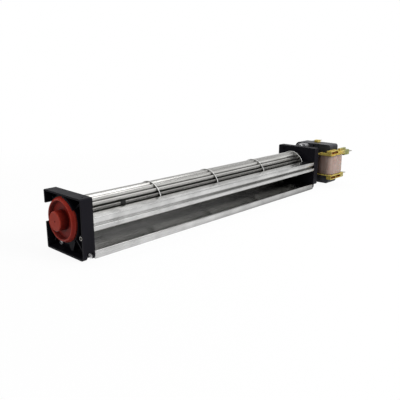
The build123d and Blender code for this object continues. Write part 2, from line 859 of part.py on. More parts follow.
def coil_bobbin():
    """Moulded bobbin: square tube, two flanges, and the terminal housings in front of the stack."""
    bobbin = leg_ring(winding_low, winding_high, bobbin_fit, winding_inner, bobbin_corner)
    for z in (winding_low - bobbin_flange, winding_high):
        bobbin += leg_ring(z, z + bobbin_flange, bobbin_fit, flange_outer, bobbin_flange_corner)
    bobbin += upper_terminals()
    front = terminal_back - terminal_block_depth
    low = winding_low - bobbin_flange
    foot_start = bobbin_start + foot_block_inset
    bobbin += block(foot_start, bobbin_end, front, terminal_back, low - foot_block_height, low)
    first = foot_start + pocket_wall
    step = (bobbin_end - tab_seat - first) / 2
    for k in range(2):
        start = first + step * k
        bobbin -= block(start, start + step - pocket_wall, front, terminal_back - pocket_wall,
                        low - foot_block_height + pocket_wall, low - pocket_wall)
    half_width = tab_width / 2 + press_clearance
    half_thickness = tab_thickness / 2 + press_clearance
    for z, reach in tab_places():
        bobbin -= block(bobbin_end - tab_seat, bobbin_end + sleeve_reach, terminal_y - half_width,
                        terminal_y + half_width, z - half_thickness, z + half_thickness)
    return bobbin


def coil_winding():
    return leg_ring(winding_low, winding_high, winding_inner, winding_outer, winding_corner)


def winding_tape():
    """Insulating wrap round the winding."""
    centre_x = (stack_start + stack_end) / 2
    centre_y = stack_front + core_width / 2
    inside = RectangleRounded(stack_length + 2 * winding_outer, core_width + 2 * winding_outer,
                              winding_corner)
    more = 2 * (winding_outer + tape_thickness)
    outside = RectangleRounded(stack_length + more, core_width + more, winding_corner + tape_thickness)
    return extrude(Plane(origin=(centre_x, centre_y, winding_low)) * (outside - inside),
                   amount=winding_high - winding_low)


def terminal_tabs():
    """Two flat connection tabs pressed into the bobbin, pointing away from the fan."""
    tabs = []
    for z, reach in tab_places():
        tip_x = bobbin_end + reach
        tab = block(bobbin_end - tab_seat, tip_x, terminal_y - tab_width / 2, terminal_y + tab_width / 2,
                    z - tab_thickness / 2, z + tab_thickness / 2)
        tip = tab.edges().filter_by(Axis.Z).group_by(Axis.X)[-1]
        tab = chamfer(tip, tab_width * tab_tip)
        eye = Pos(tip_x - tab_hole_margin, terminal_y, z) * Cylinder(tab_hole_radius, 2 * tab_thickness)
        tabs.append(tab - eye)
    return tabs


def bracket_section():
    """Upright strap with round ends."""
    return Pos(axis_y, axis_z) * RectangleRounded(bracket_width, strap_height, bracket_corner)


def bracket(face, inwards):
    """Cast bearing bracket: strap, feet on the stack and a boss for the bearing and its felt."""
    inner_face = face + inwards * bracket_thickness
    foot_face = inner_face + inwards * bracket_stand_off
    boss_face = face - inwards * bracket_boss_height
    strap = along(bracket_section(), min(face, inner_face), max(face, inner_face))
    feet = along(bracket_section(), min(inner_face, foot_face), max(inner_face, foot_face))
    feet -= block(min(inner_face, foot_face), max(inner_face, foot_face), axis_y - bracket_width,
                  axis_y + bracket_width, axis_z - strap_height / 2 + bracket_foot,
                  axis_z + strap_height / 2 - bracket_foot)
    body = strap + feet
    body += rod(min(face, boss_face), max(face, boss_face), bracket_boss_radius)
    wall_face = boss_face + inwards * bracket_boss_wall
    body -= rod(min(wall_face, inner_face), max(wall_face, inner_face),
                bracket_boss_radius - bracket_boss_wall)
    body -= rod(min(boss_face, wall_face), max(boss_face, wall_face),
                motor_sleeve_radius + press_clearance)
    for side in (-1, 1):
        body -= rod(min(face, foot_face), max(face, foot_face), bolt_radius + bolt_clearance,
                    axis_y, axis_z + side * bolt_pitch / 2)
    return body


def front_bracket():
    body = bracket(bracket_face, 1)
    for side in (-1, 1):
        body -= rod(bracket_face, bracket_face + bracket_thickness, mount_screw_radius + thread_clearance,
                    axis_y, axis_z + side * post_pitch / 2)
    return body


def rear_bracket():
    return bracket(rear_bracket_face, -1)


def motor_bearing(wall_face, inwards):
    """Flanged sleeve bearing pressed into a bracket's boss, with its flange on the inside."""
    flange_end = wall_face + inwards * motor_sleeve_flange_thickness
    end = wall_face + inwards * motor_sleeve_inside
    start = wall_face - inwards * bracket_boss_wall
    sleeve = rod(min(start, end), max(start, end), motor_sleeve_radius)
    sleeve += rod(min(wall_face, flange_end), max(wall_face, flange_end), motor_sleeve_flange)
    return sleeve - rod(min(start, end), max(start, end), shaft_radius + running_clearance)


def oil_felt(wall_face, inwards):
    """Oil-soaked felt ring round a motor bearing."""
    start = wall_face + inwards * (motor_sleeve_flange_thickness + felt_gap)
    end = start + inwards * felt_thickness
    return tube(min(start, end), max(start, end), bracket_boss_radius - bracket_boss_wall - felt_fit,
                motor_sleeve_radius + felt_fit)


front_boss_wall = bracket_face - bracket_boss_height + bracket_boss_wall
rear_boss_wall = rear_bracket_face + bracket_boss_height - bracket_boss_wall


def bracket_bolts():
    """Two long bolts through both brackets and the stack."""
    bolts = []
    for side in (-1, 1):
        bolts.append(slotted_pan_screw(bracket_face, rear_bracket_face + nut_height + bolt_end, axis_y,
                                       axis_z + side * bolt_pitch / 2, bolt_head_radius,
                                       bolt_head_height, bolt_radius))
    return bolts


def bracket_nuts():
    nuts = []
    for side in (-1, 1):
        section = RegularPolygon(nut_across_flats / 2, 6, major_radius=False) - Circle(
            bolt_radius + thread_clearance)
        nuts.append(along(section, rear_bracket_face, rear_bracket_face + nut_height,
                          axis_y, axis_z + side * bolt_pitch / 2))
    return nuts


def motor_mount_screws():
    """Screws from the air side of the end plate, through its posts, into the front bracket."""
    return [slotted_pan_screw(motor_inner, bracket_face + bracket_thickness, axis_y,
                              axis_z + side * post_pitch / 2, mount_screw_head_radius,
                              mount_screw_head_height, mount_screw_radius)
            for side in (-1, 1)]


holder_start = stack_start + holder_x
holder_end = holder_start + holder_length
earth_tab_z = stack_high + holder_height / 2


def terminal_holder():
    """Moulded holder on top of the stack, with a slot for the earth tab."""
    holder = block(holder_start, holder_end, holder_y - holder_width / 2, holder_y + holder_width / 2,
                   stack_high, stack_high + holder_height)
    holder = fillet(holder.edges().filter_by(Axis.Y).group_by(Axis.Z)[-1], holder_corner)
    slot_width = earth_tab_width / 2 + press_clearance
    return holder - block(holder_end - earth_tab_seat, holder_end,
                          holder_y - slot_width, holder_y + slot_width,
                          earth_tab_z - press_clearance, earth_tab_z + tab_thickness + press_clearance)


def earth_tab():
    """Flat tab pressed into its holder, pointing away from the fan."""
    return block(holder_end - earth_tab_seat, holder_end + earth_tab_reach,
                 holder_y - earth_tab_width / 2, holder_y + earth_tab_width / 2,
                 earth_tab_z, earth_tab_z + tab_thickness)


def save(name, shape):
    solids = shape if isinstance(shape, list) else [shape]
    pieces = [s for item in solids for s in item.solids()]
    body = pieces[0] if len(pieces) == 1 else Compound(children=pieces)
    body.label = name
    export_step(body, os.path.join("parts", name + ".step"))


os.makedirs("parts", exist_ok=True)
save("bearing_end_plate", bearing_end_plate())
save("motor_end_plate", motor_end_plate())
save("threaded_insert", threaded_insert())
save("scroll_housing", scroll_housing())
save("stabilizer", stabilizer())
save("bearing_end_screws", housing_screws(outward=False))
save("motor_end_screws", housing_screws(outward=True))
save("bearing_bush", bearing_bush())
save("sleeve_bearing", sleeve_bearing())
save("thrust_washer", thrust_washer())
save("stub_shaft", stub_shaft())
save("bearing_end_disc", bearing_end_disc())
for number, place in enumerate(disc_places[1:-1], start=1):
    save(f"support_disc_{number}", slotted_disc(place, support_disc_bore))
save("motor_end_disc", motor_end_disc())
for k in range(blade_count):
    save(f"blade_{k + 1:02d}", blade(k))
save("balance_clip", balance_clip())
save("drive_hub", drive_hub())
save("hub_set_screw", hub_set_screw())
save("motor_shaft", motor_shaft())
save("rotor_core", rotor_core())
save("rotor_end_rings", rotor_end_rings())
save("stator_stack", stator_stack())
save("coil_core", coil_core())
save("shading_rings", shading_rings())
save("coil_bobbin", coil_bobbin())
save("coil_winding", coil_winding())
save("winding_tape", winding_tape())
save("terminal_tabs", terminal_tabs())
save("front_bracket", front_bracket())
save("rear_bracket", rear_bracket())
save("front_motor_bearing", motor_bearing(front_boss_wall, 1))
save("rear_motor_bearing", motor_bearing(rear_boss_wall, -1))
save("front_oil_felt", oil_felt(front_boss_wall, 1))
save("rear_oil_felt", oil_felt(rear_boss_wall, -1))
save("bracket_bolts", bracket_bolts())
save("bracket_nuts", bracket_nuts())
save("motor_mount_screws", motor_mount_screws())
save("terminal_holder", terminal_holder())
save("earth_tab", earth_tab())
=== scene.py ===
import json
from math import cos, hypot, pi, radians, sin

import bmesh
import bpy
from mathutils import Matrix, Vector, noise


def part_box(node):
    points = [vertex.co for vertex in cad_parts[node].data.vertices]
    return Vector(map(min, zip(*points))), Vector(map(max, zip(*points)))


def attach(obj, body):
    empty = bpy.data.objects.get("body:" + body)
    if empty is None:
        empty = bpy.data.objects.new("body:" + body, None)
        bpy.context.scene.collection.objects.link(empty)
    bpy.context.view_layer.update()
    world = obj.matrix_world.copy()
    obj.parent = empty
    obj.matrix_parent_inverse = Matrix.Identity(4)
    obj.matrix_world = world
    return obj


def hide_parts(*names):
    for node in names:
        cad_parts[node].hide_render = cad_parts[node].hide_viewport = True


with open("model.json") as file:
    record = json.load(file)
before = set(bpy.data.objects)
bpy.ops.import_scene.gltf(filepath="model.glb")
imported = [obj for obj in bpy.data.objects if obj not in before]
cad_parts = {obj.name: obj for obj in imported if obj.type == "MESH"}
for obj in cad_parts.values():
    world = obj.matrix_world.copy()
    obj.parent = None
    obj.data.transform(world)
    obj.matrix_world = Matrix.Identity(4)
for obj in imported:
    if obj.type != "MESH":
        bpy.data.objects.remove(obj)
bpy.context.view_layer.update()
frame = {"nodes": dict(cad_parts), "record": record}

# All lengths are in metres. The impeller's axis runs along X through this Y and Z.
AXIS_Y = 0.004
AXIS_Z = 0.038
# One lamination of the stator
SHEET_PITCH = 0.00065
# Rings left by the bush's mould, in radians for each metre from the axis
MOULD_RINGS = 14000.0
# Past this radius a disc shows the bright edge that its punch left, which sets in over a short run.
DISC_CUT_RADIUS = 0.0222
CUT_EDGE_RUN = 0.00015
# Depth of the fine lines in rolled metal, and of its slow waves
GRAIN_DEPTH = 0.000003
WAVE_DEPTH = 0.00025
# How far off a neighbour may be and still shelter a face, and how close it lies against one
SHELTER_REACH = 0.03
CONTACT_REACH = 0.009
# Where a finish changes: the first place has all of it and the second none, or the other way round.
# The front groove has no painted shade towards the bearing end, in front of GROOVE_FRONT_Y.
GROOVE_SHADE_SETS_IN_X = (0.13, 0.3)
GROOVE_FRONT_Y = (-0.0326, -0.0312)
DUST_THINS_X = (0.08, 0.4)
# Painted shade in sheltered places sets in towards the motor.
FAR_SHADE_BEGINS_X = (0.22, 0.42)
SLEEVES_BEGIN_X = (0.506, 0.522)


def lin(value):
    """Linear value of an 8-bit sRGB level."""
    level = value / 255
    return level / 12.92 if level <= 0.04045 else ((level + 0.055) / 1.055) ** 2.4


def colour(red, green, blue):
    """Opaque colour for a socket, from 8-bit sRGB levels."""
    return (lin(red), lin(green), lin(blue), 1.0)


# Materials
class Graph:
    """A material's node tree, with short calls for the nodes that the finishes share."""

    def __init__(self, name, **sockets):
        self.material = bpy.data.materials.new(name)
        self.material.use_nodes = True
        self.tree = self.material.node_tree
        self.shader = next(n for n in self.tree.nodes if n.type == "BSDF_PRINCIPLED")
        self.position = self.node("ShaderNodeTexCoord").outputs["Object"]
        self.feed(self.shader, sockets)

    def feed(self, node, sockets):
        """Link or set each socket: a number is its index, and a name has _ for a space."""
        for key, value in sockets.items():
            socket = node.inputs[key if isinstance(key, int) else key.replace("_", " ")]
            if isinstance(value, bpy.types.NodeSocket):
                self.tree.links.new(value, socket)
            else:
                socket.default_value = value

    def node(self, kind, sockets=None, **settings):
        node = self.tree.nodes.new(kind)
        for key, value in settings.items():
            setattr(node, key, value)
        self.feed(node, sockets or {})
        return node

    def along(self, axis):
        """The position's X, Y or Z."""
        parts = self.node("ShaderNodeSeparateXYZ", {"Vector": self.position})
        return parts.outputs[axis]

    def stretch(self, scale, offset=(0, 0, 0)):
        """The position, scaled by axis, so that a pattern is drawn out along the small scales."""
        sockets = {"Vector": self.position, "Scale": scale, "Location": offset}
        return self.node("ShaderNodeMapping", sockets).outputs["Vector"]

    def noise(self, scale, detail, vector=None, roughness=0.55):
        sockets = {"Vector": vector or self.position, "Scale": scale, "Detail": detail,
                   "Roughness": roughness}
        return self.node("ShaderNodeTexNoise", sockets).outputs["Fac"]

    def math(self, operation, a, b=0.0):
        return self.node("ShaderNodeMath", {0: a, 1: b}, operation=operation).outputs["Value"]

    def less(self, value):
        """What is left of 1."""
        return self.math("SUBTRACT", 1.0, value)

    def spread(self, value, low, high, start=0.3, end=0.7):
        """A value from start to end becomes one from low to high."""
        sockets = {"Value": value, "From Min": start, "From Max": end, "To Min": low,
                   "To Max": high}
        return self.node("ShaderNodeMapRange", sockets).outputs["Result"]

    def mix(self, factor, a, b):
        """Colour a where the factor is 0, and b where it is 1."""
        return self.node("ShaderNodeMix", {0: factor, 6: a, 7: b}, data_type="RGBA").outputs[2]

    def mottled(self, pattern, a, b, start=0.35, end=0.7):
        """Colour a that turns to b in the pattern's patches."""
        return self.mix(self.spread(pattern, 0.0, 1.0, start, end), a, b)

    def worn(self, base, bare, share):
        """A share of the bare colour at outward edges, where a finish wears first."""
        pointed = self.node("ShaderNodeNewGeometry").outputs["Pointiness"]
        edges = self.spread(pointed, 0.0, 1.0, 0.52, 0.6)
        return self.mix(self.math("MULTIPLY", edges, share), base, bare)

    def open_air(self, reach, alone, start=0.35, end=0.85):
        """1 on open faces, falling to 0 in crevices narrower than the reach: where the sheets' dust
        stays and where shade is painted. The piece's own walls alone make the crevice, or its
        neighbours' too."""
        near = self.node("ShaderNodeAmbientOcclusion", {"Distance": reach}, samples=8,
                         only_local=alone)
        return self.spread(near.outputs["AO"], 0.0, 1.0, start, end)

    def from_axis(self):
        """Distance from the impeller's axis."""
        squares = [self.math("POWER", self.math("SUBTRACT", self.along(axis), place), 2.0)
                   for axis, place in (("Y", AXIS_Y), ("Z", AXIS_Z))]
        return self.math("SQRT", self.math("ADD", *squares))

    def bump(self, height, distance, strength, under=None):
        """Normal of a height, over the normal under it."""
        sockets = {"Height": height, "Distance": distance, "Strength": strength}
        if under is not None:
            sockets["Normal"] = under
        return self.node("ShaderNodeBump", sockets).outputs["Normal"]

    def finish(self, **sockets):
        self.feed(self.shader, sockets)
        return self.material


def rolled_metal(name, light, dark, crevice_shade, rough_low, rough_high, shift=0.0, reach=0.006, wavy=0.5,
                 film=0.0, rim=None):
    """Bare rolled metal: fine lines along the fan, cloudy handling marks and painted shade in
    crevices, which are also duller. A sheet has a film where it is sheltered, and a disc a bright
    edge past its rim radius."""
    g = Graph(name)
    lines = g.noise(1.0, 2.0, g.stretch((7, 900, 900), (shift, 0, 0)))
    bands = g.noise(1.0, 2.0, g.stretch((2.5, 260, 260), (shift, 0, 0)))
    waves = g.noise(1.0, 1.0, g.stretch((6, 190, 190), (shift, 0, 0)))
    clouds = g.noise(38.0, 4.0)
    spots = g.noise(420.0, 2.0)
    tone = g.math("MULTIPLY", g.spread(clouds, 0.0, 1.0, 0.35, 0.7), g.spread(bands, 0.4, 1.0))
    rough = g.math("ADD", g.spread(lines, rough_low, rough_high), g.spread(clouds, -0.03, 0.07))
    height = g.math("ADD", lines, g.math("MULTIPLY", spots, 0.35))
    # Painted shade: crevices darken to the deep colour.
    open_air = g.open_air(reach, film > 0.0)
    if film > 0.0:
        # No painted shade in the front groove towards the bearing end.
        unshaded = g.math("MULTIPLY", g.spread(g.along("X"), 1.0, 0.0, *GROOVE_SHADE_SETS_IN_X),
                        g.spread(g.along("Y"), 1.0, 0.0, *GROOVE_FRONT_Y))
        open_air = g.math("MAXIMUM", open_air, unshaded)
    look = {"Base_Color": g.mix(open_air, crevice_shade, g.mix(tone, light, dark)), "Metallic": 1.0,
            "Roughness": g.math("ADD", rough, g.math("MULTIPLY", g.less(open_air), 0.16)),
            "Normal": g.bump(height, GRAIN_DEPTH, 0.4, g.bump(waves, WAVE_DEPTH, wavy))}
    if rim is not None:
        add_cut_edge(g, look, rim)
    if film > 0.0:
        add_film(g, look, film, unshaded)
    return g.finish(**look)


def add_cut_edge(g, look, rim):
    """A disc's punched edge: pale, and dull rather than mirror-like."""
    edge = g.spread(g.from_axis(), 0.0, 1.0, rim, rim + CUT_EDGE_RUN)
    look["Base_Color"] = g.mix(edge, look["Base_Color"], colour(240, 240, 238))
    look["Metallic"] = g.less(g.math("MULTIPLY", edge, 0.7))
    look["Roughness"] = g.math("ADD", look["Roughness"], g.math("MULTIPLY", edge, 0.3))


def add_film(g, look, film, unshaded):
    """A sheltered sheet's film: patchy dust that thins out towards the motor, where painted shade
    darkens it instead, and a painted shade line against what touches the sheet, except in the
    front groove towards the bearing end."""
    smears = g.noise(1.0, 3.0, g.stretch((16, 30, 30)))
    sheltered = g.less(g.open_air(SHELTER_REACH, False))
    patchy = g.math("MULTIPLY", g.spread(smears, 0.8 * film, film, 0.4, 0.62),
                    g.spread(g.along("X"), 1.0, 0.0, *DUST_THINS_X))
    look["Metallic"] = g.less(g.math("MULTIPLY", sheltered, patchy))
    # Painted shade: sheltered places darken towards the motor.
    darkened = g.math("MULTIPLY", sheltered, g.spread(g.along("X"), 0.0, 0.85, *FAR_SHADE_BEGINS_X))
    far_shade_tone = g.mix(darkened, look["Base_Color"], colour(70, 70, 70))
    # Painted shade: a dark line where a neighbour lies close, left out in the front groove.
    free = g.math("MAXIMUM", g.open_air(CONTACT_REACH, False, 0.3, 0.8), unshaded)
    look["Base_Color"] = g.mix(free, colour(92, 92, 89), far_shade_tone)


def black_plastic():
    """Finely grained black moulding, a little dusty, with worn edges."""
    g = Graph("black_plastic", IOR=1.48, Specular_IOR_Level=0.1)
    broad = g.noise(45.0, 3.0)
    dusty = g.mix(g.spread(broad, 0.0, 0.55, 0.4, 0.75), colour(11, 10, 15), colour(17, 16, 22))
    return g.finish(Base_Color=g.worn(dusty, colour(42, 41, 48), 0.3),
                    Roughness=g.spread(broad, 0.42, 0.56),
                    Normal=g.bump(g.noise(2600.0, 2.0), 0.00003, 0.5))


def red_silicone():
    """Satin silicone: rings from its mould, pale worn edges and painted shade, deep red, in its
    dish.
    """
    g = Graph("red_silicone", IOR=1.41, Specular_IOR_Level=0.35, Subsurface_Weight=0.08,
              Subsurface_Radius=(1.0, 0.2, 0.1), Subsurface_Scale=0.001)
    rings = g.math("SINE", g.math("MULTIPLY", g.from_axis(), MOULD_RINGS))
    grain = g.math("ADD", g.math("MULTIPLY", rings, 0.12), g.noise(1800.0, 2.0))
    broad = g.noise(90.0, 3.0)
    bloom = g.mottled(broad, colour(168, 38, 26), colour(182, 54, 40), 0.35, 0.75)
    unshaded = g.worn(bloom, colour(214, 98, 76), 0.5)
    # Painted shade: its dish darkens to deep red.
    painted_dish_shade = g.mix(g.open_air(0.016, True, 0.45, 0.95), colour(76, 9, 6), unshaded)
    return g.finish(Base_Color=painted_dish_shade, Roughness=g.spread(broad, 0.4, 0.55),
                    Normal=g.bump(grain, 0.00003, 0.45))


def turned_metal(name, base, tarnish, rough_low, rough_high, metallic=1.0, wear=0.4):
    """Machined or plated small part: fine tool marks across X, faint tarnish and bright edges."""
    g = Graph(name, Metallic=metallic)
    marks = g.noise(1.0, 2.0, g.stretch((6500, 300, 300)))
    stains = g.noise(240.0, 4.0)
    tone = g.mottled(stains, base, tarnish, 0.4, 0.75)
    return g.finish(Base_Color=g.worn(tone, colour(232, 230, 226), wear),
                    Roughness=g.spread(stains, rough_low, rough_high),
                    Normal=g.bump(marks, 0.000015, 0.4))


def moulded(name, base, shade, rough_low, rough_high, **sockets):
    """Small moulded part: fine grain and a slight drift of colour."""
    g = Graph(name, **sockets)
    broad = g.noise(130.0, 3.0)
    return g.finish(Base_Color=g.mottled(broad, base, shade),
                    Roughness=g.spread(broad, rough_low, rough_high),
                    Normal=g.bump(g.noise(2200.0, 2.0), 0.00003, 0.45))


def bobbin_plastic():
    """Slightly clear moulding: greener and duller towards the thin sleeves on the tabs, and
    painted amber shade in its mouths."""
    g = Graph("bobbin_plastic", Specular_IOR_Level=0.45, Subsurface_Weight=0.3,
              Subsurface_Radius=(1.0, 0.8, 0.25), Subsurface_Scale=0.002)
    broad = g.noise(130.0, 3.0)
    body = g.mottled(broad, colour(204, 185, 101), colour(183, 159, 72))
    thin = g.mottled(broad, colour(153, 156, 103), colour(127, 131, 81))
    drawn = g.mix(g.spread(g.along("X"), 0.0, 1.0, *SLEEVES_BEGIN_X), body, thin)
    # Painted shade: its mouths darken to amber.
    mouth_shade = g.mix(g.open_air(0.006, True, 0.25, 0.7), colour(158, 84, 24), drawn)
    return g.finish(Base_Color=mouth_shade, Roughness=g.spread(broad, 0.35, 0.5),
                    Normal=g.bump(g.noise(2200.0, 2.0), 0.00003, 0.45))


def lamination_steel():
    """Varnished stack: one line for each sheet along X, runs in the varnish, and painted shade
    where its neighbours shelter it."""
    g = Graph("lamination_steel", Metallic=0.35, Specular_IOR_Level=0.5)
    wave = g.math("SINE", g.math("MULTIPLY", g.along("X"), 2 * pi / SHEET_PITCH))
    uneven = g.noise(1.0, 1.0, g.stretch((2000, 12, 12)))
    sheets = g.math("ADD", g.math("MULTIPLY", wave, 0.2), uneven)
    varnish = g.noise(160.0, 4.0)
    tone = g.mottled(varnish, colour(38, 39, 43), colour(56, 57, 63), 0.4, 0.7)
    bare = g.math("MULTIPLY", g.spread(sheets, 0.0, 1.0, 0.5, 0.62), 0.45)
    lined = g.mix(bare, tone, colour(98, 98, 106))
    # Painted shade: near-black where neighbours shelter the stack.
    neighbour_shade = g.mix(g.open_air(SHELTER_REACH, False, 0.15, 0.8), colour(20, 20, 22), lined)
    return g.finish(Base_Color=neighbour_shade, Roughness=g.spread(varnish, 0.34, 0.52),
                    Normal=g.bump(sheets, 0.00006, 0.5))


def cast_bracket():
    """Grey die-cast metal with a finely pitted skin."""
    g = Graph("cast_bracket", Metallic=0.9)
    pits = g.noise(900.0, 3.0)
    tone = g.mottled(g.noise(110.0, 3.0), colour(190, 190, 192), colour(150, 150, 154))
    return g.finish(Base_Color=tone, Roughness=g.spread(pits, 0.34, 0.55),
                    Normal=g.bump(pits, 0.00006, 0.5))


def winding_copper():
    """Enamelled wire: one ridge for each turn up the coil."""
    g = Graph("winding_copper", Metallic=0.85)
    tone = g.mottled(g.noise(60.0, 2.0), colour(170, 92, 52), colour(128, 60, 34), 0.3, 0.7)
    return g.finish(Base_Color=tone, Roughness=g.spread(g.noise(500.0, 2.0), 0.25, 0.42),
                    Normal=g.bump(g.noise(1.0, 1.0, g.stretch((30, 30, 3000))), 0.00004, 0.5))


def winding_tape():
    """Thin pale tape over the coil: the wires' lines press through, the copper warms it, and
    painted shade darkens it where the plate and the stack shelter it."""
    g = Graph("winding_tape", IOR=1.5, Specular_IOR_Level=0.45, Subsurface_Weight=0.25,
              Subsurface_Radius=(1.0, 0.5, 0.35), Subsurface_Scale=0.0015)
    turns = g.noise(1.0, 2.0, g.stretch((14, 14, 1500)))
    folds = g.noise(1.0, 2.0, g.stretch((420, 420, 18)))
    clouds = g.noise(120.0, 3.0)
    warm = g.mix(g.spread(clouds, 0.2, 0.7, 0.35, 0.7), colour(198, 176, 166),
                 colour(158, 134, 124))
    streaks = g.math("MULTIPLY", g.spread(folds, 0.0, 1.0, 0.4, 0.65), 0.55)
    streaked = g.mix(streaks, warm, colour(152, 124, 114))
    # Painted shade where the plate and the stack shelter the tape.
    shaded = g.mix(g.open_air(0.035, False, 0.35, 0.95), colour(74, 52, 46), streaked)
    height = g.math("ADD", g.math("MULTIPLY", turns, 0.6), folds)
    return g.finish(Base_Color=shaded, Roughness=g.spread(clouds, 0.3, 0.45),
                    Normal=g.bump(height, 0.00008, 0.6))


def felt():
    """Matted wool, darker where the oil has soaked in."""
    g = Graph("felt", Sheen_Weight=0.4, Sheen_Roughness=0.5, Specular_IOR_Level=0.1)
    fibres = g.noise(1400.0, 5.0, roughness=0.8)
    darkened = g.mottled(g.noise(200.0, 3.0), colour(206, 196, 170), colour(168, 150, 112), 0.3, 0.7)
    return g.finish(Base_Color=darkened, Roughness=g.spread(fibres, 0.85, 0.98),
                    Normal=g.bump(fibres, 0.0002, 0.7))


# Slot, main colour, tarnish, lowest and highest roughness, and where they differ metal and wear
TURNED = (
    ("bearing_bronze", colour(186, 142, 88), colour(140, 98, 56), 0.34, 0.52),
    ("insert_brass", colour(158, 154, 142), colour(122, 114, 98), 0.26, 0.4),
    ("screw_steel", colour(230, 230, 231), colour(198, 198, 200), 0.3, 0.46, 0.8),
    ("shaft_steel", colour(200, 200, 202), colour(176, 176, 178), 0.14, 0.24),
    ("hub_metal", colour(190, 190, 190), colour(158, 158, 156), 0.26, 0.42),
    ("clip_steel", colour(17, 17, 16), colour(10, 10, 10), 0.5, 0.65, 0.5, 0.03),
    ("tab_metal", colour(212, 208, 190), colour(180, 170, 140), 0.24, 0.4),
)
# By slot: the loaded frame has materials of these names already, so the new ones get a suffix.
materials = {
    "black_plastic": black_plastic(),
    "sheet_metal": rolled_metal("sheet_metal", colour(220, 220, 219), colour(180, 180, 179),
                                colour(122, 122, 118), 0.14, 0.24, reach=0.04, film=0.62),
    "blade_metal": rolled_metal("blade_metal", colour(228, 227, 224), colour(198, 197, 193),
                                colour(62, 60, 53), 0.2, 0.3, shift=3.0, reach=0.011, wavy=0.12),
    "disc_metal": rolled_metal("disc_metal", colour(226, 226, 224), colour(200, 200, 198),
                               colour(104, 102, 96), 0.06, 0.14, shift=7.0, rim=DISC_CUT_RADIUS),
    "red_silicone": red_silicone(),
    "washer_plastic": moulded("washer_plastic", colour(226, 224, 214), colour(210, 206, 192),
                              0.4, 0.55, Specular_IOR_Level=0.4),
    "bobbin_plastic": bobbin_plastic(),
    "lamination_steel": lamination_steel(),
    "cast_bracket": cast_bracket(),
    "winding_copper": winding_copper(),
    "winding_tape": winding_tape(),
    "felt": felt(),
}
for row in TURNED:
    materials[row[0]] = turned_metal(*row)

# Each CAD node shows the finish of its slot in the record.
slot_of = {part["node"]: part["material_slot"] for part in frame["record"]["subparts"]}
for name, piece in frame["nodes"].items():
    piece.data.materials.clear()
    piece.data.materials.append(materials[slot_of[name]])


# Pieces that the solids leave out: each rides on the housing and takes its slot's finish.
def settle(piece, slot):
    piece.data.materials.append(materials[slot])
    bpy.context.scene.collection.objects.link(piece)
    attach(piece, "housing")
    return piece


def skin(name, rows, slot, closed_ends=False):
    """Smooth surface through rings of points, each ring closed and all of one number of points.
    The last ring joins the first, unless the ends are closed."""
    shape = bmesh.new()
    rings = [[shape.verts.new(point) for point in row] for row in rows]
    pairs = list(zip(rings, rings[1:])) + ([] if closed_ends else [(rings[-1], rings[0])])
    for low, high in pairs:
        for k in range(len(low)):
            n = (k + 1) % len(low)
            shape.faces.new((low[k], low[n], high[n], high[k]))
    if closed_ends:
        shape.faces.new(reversed(rings[0]))
        shape.faces.new(rings[-1])
    bmesh.ops.recalc_face_normals(shape, faces=shape.faces)
    mesh = bpy.data.meshes.new(name)
    shape.to_mesh(mesh)
    shape.free()
    mesh.shade_smooth()
    return settle(bpy.data.objects.new(name, mesh), slot)


def wire(name, points, radius, slot):
    """Round wire on a smooth curve through the points, its ends sunk in what holds it."""
    curve = bpy.data.curves.new(name, "CURVE")
    curve.dimensions = "3D"
    curve.bevel_depth = radius
    curve.bevel_resolution = 3
    curve.resolution_u = 6
    curve.use_fill_caps = True
    line = curve.splines.new("BEZIER")
    line.bezier_points.add(len(points) - 1)
    for knot, place in zip(line.bezier_points, points):
        knot.co = place
        knot.handle_left_type = "AUTO"
        knot.handle_right_type = "AUTO"
    settle(bpy.data.objects.new(name, curve), slot)


# The tape round the coil. Its section has rounded corners, cut into short steps.
WRAP_CORNER = 0.00935
WRAP_CORNER_STEPS = 10
WRAP_STEP = 0.0012
WRAP_LEVELS = 28
WRAP_THICKNESS = 0.0003
# It stands proud of its solid in front of its back edge, by a crown, a slight unevenness and a lap.
WRAP_BACK = -0.036
WRAP_FREE_RUN = 0.006
WRAP_CROWN = 0.00014
WRAP_UNEVEN = 0.00011
WRAP_LAP = 0.00009
LAP_FROM = 0.4965
LAP_TO = 0.5075
# How fast the unevenness changes: for each metre in X and Y, and over the whole height
UNEVEN_ACROSS = 420
UNEVEN_UP = 2.2


def rounded_outline(low, high, corner, steps):
    """Points round a rectangle with rounded corners, each with its outward direction."""
    centres = ((high[0] - corner, high[1] - corner, 0), (low[0] + corner, high[1] - corner, 90),
               (low[0] + corner, low[1] + corner, 180), (high[0] - corner, low[1] + corner, 270))
    outline = []
    for x, y, start in centres:
        for k in range(steps + 1):
            turn = radians(start + 90 * k / steps)
            outline.append((x + corner * cos(turn), y + corner * sin(turn), cos(turn), sin(turn)))
    spaced = []
    for k, here in enumerate(outline):
        there = outline[(k + 1) % len(outline)]
        count = max(1, round(hypot(there[0] - here[0], there[1] - here[1]) / WRAP_STEP))
        for j in range(count):
            spaced.append(tuple(a + (b - a) * (j / count) for a, b in zip(here, there)))
    return spaced


